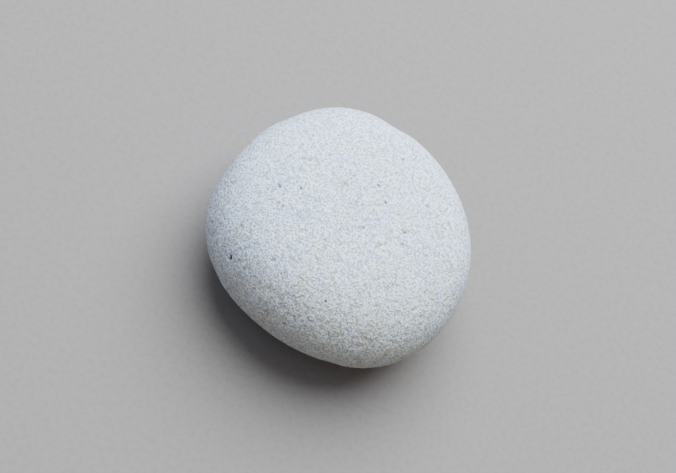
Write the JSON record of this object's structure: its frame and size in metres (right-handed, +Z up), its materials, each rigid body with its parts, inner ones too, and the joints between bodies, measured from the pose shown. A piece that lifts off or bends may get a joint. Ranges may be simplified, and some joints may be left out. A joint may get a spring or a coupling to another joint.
{
  "type": "river pebble",
  "caption": "Smooth, rounded, palm-sized river pebble in pale grey stone, for ground cover, landscaping, paperweights and still-life scenes.",
  "frame": {"origin": "on the ground, under the middle of the stone's box", "axes": "+X along the stone's longest way, +Z up through its thinnest way, +Y across it"},
  "size_m": [0.056, 0.0542, 0.0286],
  "materials": {
    "stone": "matt, water-worn, fine-grained pale grey stone with small dark pits"
  },
  "bodies": {
    "root": {"pebble": "stone"}
  },
  "joints": []
}
